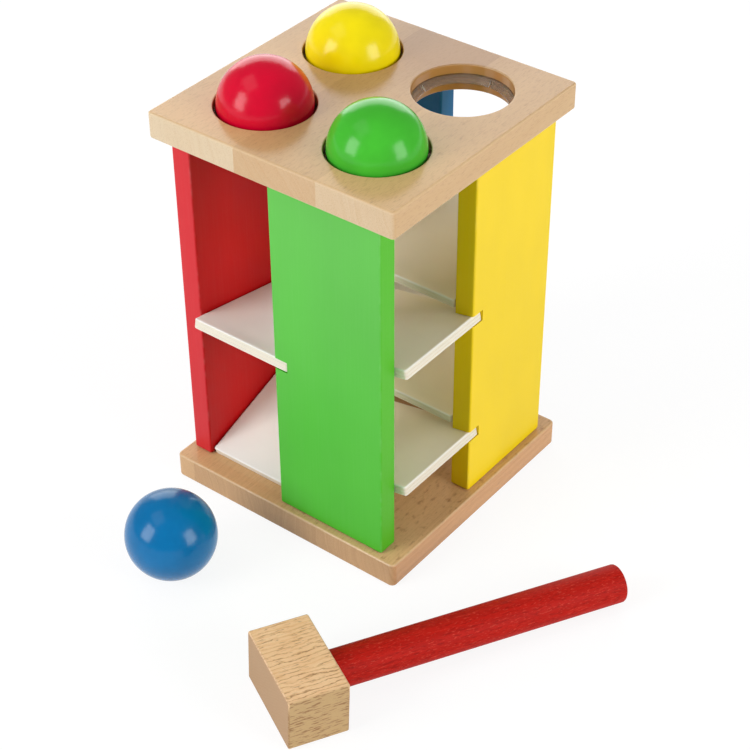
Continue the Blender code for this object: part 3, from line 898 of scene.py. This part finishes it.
class Ramp:
    """A ramp, laid out from its node, and the cuts that seat it in the panels.

    A positive slope falls towards the tower's middle. In the ramp's own plane X is as on the tower, Y runs
    along the slope from its start, and its top is at 0.
    """

    def __init__(self, node, side, slope, sink=0.0):
        self.node = node
        self.side = side
        low, high = own_box(node, side)
        panel_low, panel_high = own_box(PANEL_COLOURS[side] + "_panel", side)
        angle = math.atan(slope)
        lean = RAMP_THICKNESS * math.sin(abs(angle))
        start = Vector((0, low.y + lean, high.z))
        if slope < 0:
            start = Vector((0, low.y, low.z + RAMP_THICKNESS * math.cos(angle)))
        start.z -= sink
        lie = Matrix.Translation(start) @ Matrix.Rotation(-angle, 4, "X")
        self.place = quarter_turn(side) @ lie

        def along(y):
            return (y - low.y - lean) / math.cos(angle)

        self.length = along(high.y)
        self.tongue_start = along(-panel_high.x + TONGUE_STOP)
        self.tongue_end = along(-panel_low.x - TONGUE_STOP)
        self.tip = low.x
        self.left = low.x + TONGUE_DEPTH + JOINT_LINE
        self.right = high.x + TIP_REACH

    def mesh(self):
        """The ramp with its tongue, and a fine groove round its edge at each glue line of the plywood."""
        outline = rectangle(self.left, 0, self.right, self.length, RAMP_CORNER_RADIUS)
        lower, upper = edge_loops(-RAMP_THICKNESS, 0, RAMP_EDGE_ROUND)
        grooves = []
        for number in range(1, PLY_COUNT):
            height = RAMP_THICKNESS * (number / PLY_COUNT - 1)
            grooves.append((0, height - PLY_GROOVE_HALF, 0, 0))
            grooves.append((PLY_GROOVE, height, 0, 1))
            grooves.append((0, height + PLY_GROOVE_HALF, 0, 0))
        plate = board(self.node, outline, lower + grooves + upper, self.place)
        return carved(plate, [self.tongue("tongue", 0)], "UNION")

    def tongue(self, name, room):
        """The tongue on the ramp's left edge, or with room round it the groove that it sits in."""
        start, end = self.tongue_start - room, self.tongue_end + room
        outline = rectangle(self.tip - room, start, self.left + TONGUE_DEPTH, end, 0)
        return prism(name, outline, TONGUE_STEP - RAMP_THICKNESS - room, room - TONGUE_STEP, self.place)

    def notch(self):
        """The open notch in the next panel that the ramp's right end sits in."""
        outline = rectangle(self.left, -CUT_PAST, self.right + GAP, self.length + CUT_PAST, 0)
        return prism("notch", outline, -RAMP_THICKNESS - GAP, GAP, self.place)


def panel_mesh(side, seats):
    """An upright with rounded edges, the seats of its ramps and the sockets of its dowels."""
    colour = PANEL_COLOURS[side]
    low, high = own_box(colour + "_panel", side)
    outline = rectangle(low.x, low.z, high.x, high.z, PANEL_CORNER_RADIUS)
    lower, upper = edge_loops(-high.y, -low.y, PANEL_EDGE_ROUND)
    stand = quarter_turn(side) @ Matrix.Rotation(math.pi / 2, 4, "X")
    sockets = [dowel_socket(dowel) for dowel in DOWELS if dowel.startswith(colour)]
    return carved(board(colour + "_panel", outline, lower + upper, stand), seats + sockets)


def add_plates():
    holes = [hole_tool(side) for side in range(len(BALL_COLOURS))]
    base_wood = beech("base_beech", BASE_STAVES, BASE_BEECH, BASE_FACE, BASE_SIDE, BASE_FIGURE)
    top_wood = beech("top_beech", TOP_STAVES, TOP_BEECH, TOP_FACE, TOP_SIDE, TOP_FIGURE)
    plates = (
        ("base_plate", "_base_", base_low.z, base_high.z, BASE_CORNER_RADIUS, [], base_wood),
        ("top_plate", "_top_", top_low.z, top_high.z, TOP_CORNER_RADIUS, holes, top_wood),
    )
    pieces = {}
    for node, end, low, high, radius, tools, finish in plates:
        sockets = [dowel_socket(dowel) for dowel in DOWELS if end in dowel]
        mesh = plate_mesh(node, low, high, radius, tools + sockets)
        pieces[node] = add_piece(node, mesh, finish, "tower")
    dowel_wood = plain_beech("dowel_beech")
    for dowel in DOWELS:
        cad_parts[dowel].data.materials.clear()
        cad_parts[dowel].data.materials.append(dowel_wood)
    return pieces


def add_panels_and_ramps():
    ramps = [Ramp(node, PANEL_COLOURS.index(node.split("_")[2]), RAMP_SLOPE) for node in SPIRAL_RAMPS]
    exit_ramp = Ramp(EXIT_RAMP, EXIT_SIDE, -EXIT_SLOPE, EXIT_SINK)
    ground = rectangle(-PLATE_HALF, -PLATE_HALF, PLATE_HALF, PLATE_HALF, 0)
    seats = {colour: [] for colour in PANEL_COLOURS}
    white = white_paint("white_paint", WHITE_PAINT)
    cream = white_paint("cream_paint", CREAM_PAINT)
    for ramp in ramps:
        seats[PANEL_COLOURS[ramp.side]].append(ramp.notch())
    for ramp in ramps + [exit_ramp]:
        seats[PANEL_COLOURS[ramp.side - 1]].append(ramp.tongue("groove", GAP))
        mesh = carved(ramp.mesh(), [prism("ground", ground, base_low.z, base_high.z + GAP)])
        mark_faces(mesh, FLAT, ramp.place.to_3x3() @ Vector((0, 0, 1)))
        finish = white if ramp.side == EXIT_SIDE else cream
        add_piece(ramp.node, mesh, finish, "tower")
    for side, colour in enumerate(PANEL_COLOURS):
        finish = paint(colour + "_paint", *PAINTS[colour])
        mesh = panel_mesh(side, seats[colour])
        mark_faces(mesh, FLAT, quarter_turn(side).to_3x3() @ Vector((0, 1, 0)))
        add_piece(colour + "_panel", mesh, finish, "tower")


def ball_mesh(centre, radius, seed):
    """A turned ball, a hair out of round: a divided cube blown up to a sphere."""
    bm = bmesh.new()
    bmesh.ops.create_cube(bm, size=2.0)
    bmesh.ops.subdivide_edges(bm, edges=bm.edges[:], cuts=BALL_CUTS, use_grid_fill=True)
    shift = Vector((seed, 0, 0))
    for vert in bm.verts:
        direction = Vector(math.tan(value * math.pi / 4) for value in vert.co).normalized()
        uneven = noise.noise(direction * BALL_UNEVEN_SCALE + shift)
        vert.co = centre + direction * (radius + BALL_UNEVENNESS * uneven)
    return finished_mesh("ball", bm)


def add_balls():
    plastic = clear_plastic("clear_plastic")
    for side, colour in enumerate(BALL_COLOURS):
        ring = colour + "_ball_ring"
        add_piece(ring, ring_mesh(side), plastic, "tower")
        ball = colour + "_ball"
        low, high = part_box(ball)
        mesh = ball_mesh((low + high) / 2, BALL_RADIUS - BALL_UNEVENNESS, side * BALL_SEED_STEP)
        finish = lacquer(colour + "_lacquer", LACQUERS[colour], LACQUER_RELIEF[colour])
        add_piece(ball, mesh, finish, ball, large_flats=False)


def hammer_place():
    """Where the hammer lies: on its head's lower edge and on the end of its handle, along its own X."""
    half_height = HEAD_HEIGHT / 2
    head_rest = HEAD_THICKNESS - HEAD_EDGE_ROUND
    handle_rest = HEAD_THICKNESS + HANDLE_LENGTH - HANDLE_END_ROUND
    tilt = math.atan((half_height - HANDLE_DIAMETER / 2) / (handle_rest - head_rest))
    height = half_height * math.cos(tilt) + head_rest * math.sin(tilt)
    return Matrix.LocRotScale(Vector((*HAMMER_PLACE, height)), Euler((0, tilt, HAMMER_TURN)), None)


def head_mesh():
    """A block with rounded edges, drawn in Y and Z and given its thickness along X, and the blind bore."""
    half_length, half_height = HEAD_LENGTH / 2, HEAD_HEIGHT / 2
    outline = rectangle(-half_length, -half_height, half_length, half_height, HEAD_CORNER_RADIUS)
    lower, upper = edge_loops(0, HEAD_THICKNESS, HEAD_EDGE_ROUND)
    along_x = Matrix(((0, 0, 1, 0), (1, 0, 0, 0), (0, 1, 0, 0), (0, 0, 0, 1)))
    bore_radius = TENON_DIAMETER / 2
    bore_end = HEAD_THICKNESS - TENON_LENGTH - GAP
    profile = [(0, HEAD_THICKNESS + CUT_PAST), (bore_radius, HEAD_THICKNESS + CUT_PAST)]
    profile += [(bore_radius, bore_end), (0, bore_end)]
    bore = turned("bore", profile, TURNED_SEGMENTS, place=LAID_ALONG_X)
    mesh = carved(board("head", outline, lower + upper, along_x), [bore])
    mark_faces(mesh, END_GRAIN, Vector((1, 0, 0)))
    mark_faces(mesh, SIDE_GRAIN, Vector((0, 1, 0)))
    return mesh


def handle_mesh():
    """A turned stick with a tenon in the head and a crowned end."""
    radius = HANDLE_DIAMETER / 2
    tenon = TENON_DIAMETER / 2 - GAP
    start = HEAD_THICKNESS - TENON_LENGTH
    shoulder = HEAD_THICKNESS + GAP
    end = HEAD_THICKNESS + HANDLE_LENGTH
    corners = [
        (0, start, 0),
        (tenon, start, HANDLE_EASE),
        (tenon, shoulder, 0),
        (radius, shoulder, HANDLE_EASE),
        (radius, end - HANDLE_END_CROWN, HANDLE_END_ROUND),
        (radius / 3, end, radius),
        (0, end, 0),
    ]
    profile = filleted(corners, CORNER_STEPS, closed=False)
    return turned("handle", profile, TURNED_SEGMENTS, place=LAID_ALONG_X)


def add_hammer():
    place = hammer_place()
    wood = hammer_beech("hammer_beech")
    stain = red_stain("red_stain")
    add_piece("hammer_head", head_mesh(), wood, "hammer", place)
    add_piece("hammer_handle", handle_mesh(), stain, "hammer", place)


# Camera, light and floor


def direction(azimuth, elevation):
    """Out from the tower, by angles in degrees. Azimuth 0 is on the -Y side and 90 on the +X side."""
    turn, lift = math.radians(azimuth), math.radians(elevation)
    return Vector((math.sin(turn) * math.cos(lift), -math.cos(turn) * math.cos(lift), math.sin(lift)))


def add_camera():
    """The photograph's camera."""
    back = direction(CAMERA_AZIMUTH, CAMERA_ELEVATION)
    right = Vector((0, 0, 1)).cross(back).normalized()
    turned_frame = Matrix((right, back.cross(right), back)).transposed().to_4x4()
    roll = Matrix.Rotation(math.radians(CAMERA_ROLL), 4, "Z")
    lens = bpy.data.cameras.new("camera")
    lens.sensor_width = SENSOR_WIDTH
    lens.lens = FOCAL_LENGTH
    camera = bpy.data.objects.new("camera", lens)
    bpy.context.scene.collection.objects.link(camera)
    camera.matrix_world = Matrix.Translation(CAMERA_PLACE) @ turned_frame @ roll
    bpy.context.scene.camera = camera


def softbox(name, azimuth, elevation, width, height, radiance):
    """A rectangular lamp that faces the tower."""
    towards = direction(azimuth, elevation)
    lamp = bpy.data.lights.new(name, "AREA")
    lamp.shape = "RECTANGLE"
    lamp.size = width
    lamp.size_y = height
    lamp.energy = radiance * math.pi * width * height
    holder = bpy.data.objects.new(name, lamp)
    bpy.context.scene.collection.objects.link(holder)
    place = Vector(LIGHT_AIM) + towards * LIGHT_DISTANCE
    holder.matrix_world = Matrix.LocRotScale(place, towards.to_track_quat("Z", "Y"), None)
    holder.visible_camera = False
    return holder


def keep_glare_off(lamp, piece):
    """Lights a piece by a twin of the lamp that isn't mirrored in it, and the rest by the lamp itself."""
    twin = lamp.copy()
    twin.name = lamp.name + "_unmirrored"
    twin.visible_glossy = False
    bpy.context.scene.collection.objects.link(twin)
    for holder, state in ((lamp, "EXCLUDE"), (twin, "INCLUDE")):
        lit = bpy.data.collections.new(holder.name + "_lit")
        lit.objects.link(piece)
        lit.collection_objects[0].light_linking.link_state = state
        holder.light_linking.receiver_collection = lit


def seen_directly(nodes):
    """1 for what the camera sees straight, mirrored or through glass, and 0 for light that is passed on."""
    path = nodes.add("ShaderNodeLightPath", {}).outputs
    seen = nodes.larger(path["Is Camera Ray"], path["Is Glossy Ray"])
    return nodes.larger(seen, path["Is Transmission Ray"])


def add_world():
    """White to the eye and through glass. Mirrors show a white backdrop and a dark room before it."""
    world = bpy.data.worlds.new("studio")
    bpy.context.scene.world = world
    world.use_nodes = True
    nodes = Nodes(world.node_tree)
    path = nodes.add("ShaderNodeLightPath", {}).outputs
    middle = direction(BACKDROP_AZIMUTH, 0.0)
    behind = nodes.measure("DOT_PRODUCT", nodes.coordinates("Generated"), middle)
    mirrored = nodes.span(behind, *BACKDROP_FADE, ROOM_LEVEL, 1.0)
    level = nodes.span(path["Is Glossy Ray"], 0.0, 1.0, AMBIENT_LEVEL, mirrored)
    shown = nodes.larger(path["Is Camera Ray"], path["Is Transmission Ray"])
    background = nodes.tree.nodes["Background"]
    nodes.feed(background.inputs["Color"], WHITE)
    nodes.feed(background.inputs["Strength"], nodes.span(shown, 0.0, 1.0, level, 1.0))


def floor_finish():
    """White to the eye, with the object's soft shadow, and pale to the light that it throws back."""
    material = bpy.data.materials.new("floor")
    material.use_nodes = True
    nodes = Nodes(material.node_tree)
    nodes.tree.nodes.remove(nodes.tree.nodes["Principled BSDF"])
    away = nodes.measure("LENGTH", nodes.coordinates("Object"))
    strength = nodes.span(away, *FAR_REACH, FLOOR_GLOW, FAR_GLOW)
    glow = nodes.add("ShaderNodeEmission", {"Strength": strength}).outputs["Emission"]
    thrown = nodes.add("ShaderNodeBsdfDiffuse", {"Color": FLOOR_COLOUR}).outputs["BSDF"]
    shadowed = nodes.add("ShaderNodeBsdfDiffuse", {"Color": FLOOR_SHADOW_SHARE}).outputs["BSDF"]
    seen = nodes.add("ShaderNodeAddShader", {0: shadowed, 1: glow}).outputs["Shader"]
    choice = nodes.add("ShaderNodeMixShader", {0: seen_directly(nodes), 1: thrown, 2: seen})
    nodes.feed(nodes.tree.nodes["Material Output"].inputs["Surface"], choice.outputs["Shader"])
    return material


def add_floor():
    bm = bmesh.new()
    bmesh.ops.create_grid(bm, x_segments=1, y_segments=1, size=FLOOR_HALF)
    bmesh.ops.translate(bm, verts=bm.verts[:], vec=(0, 0, -FLOOR_GAP))
    mesh = finished_mesh("floor", bm)
    mesh.materials.append(floor_finish())
    floor = bpy.data.objects.new("floor", mesh)
    bpy.context.scene.collection.objects.link(floor)


bpy.context.scene.view_settings.view_transform = "Standard"
add_camera()
lamps = {name: softbox(name, *settings) for name, *settings in SOFTBOXES}
add_world()
add_floor()
plates = add_plates()
for glaring in GLARING_LAMPS:
    keep_glare_off(lamps[glaring], plates["top_plate"])
add_panels_and_ramps()
add_balls()
add_hammer()
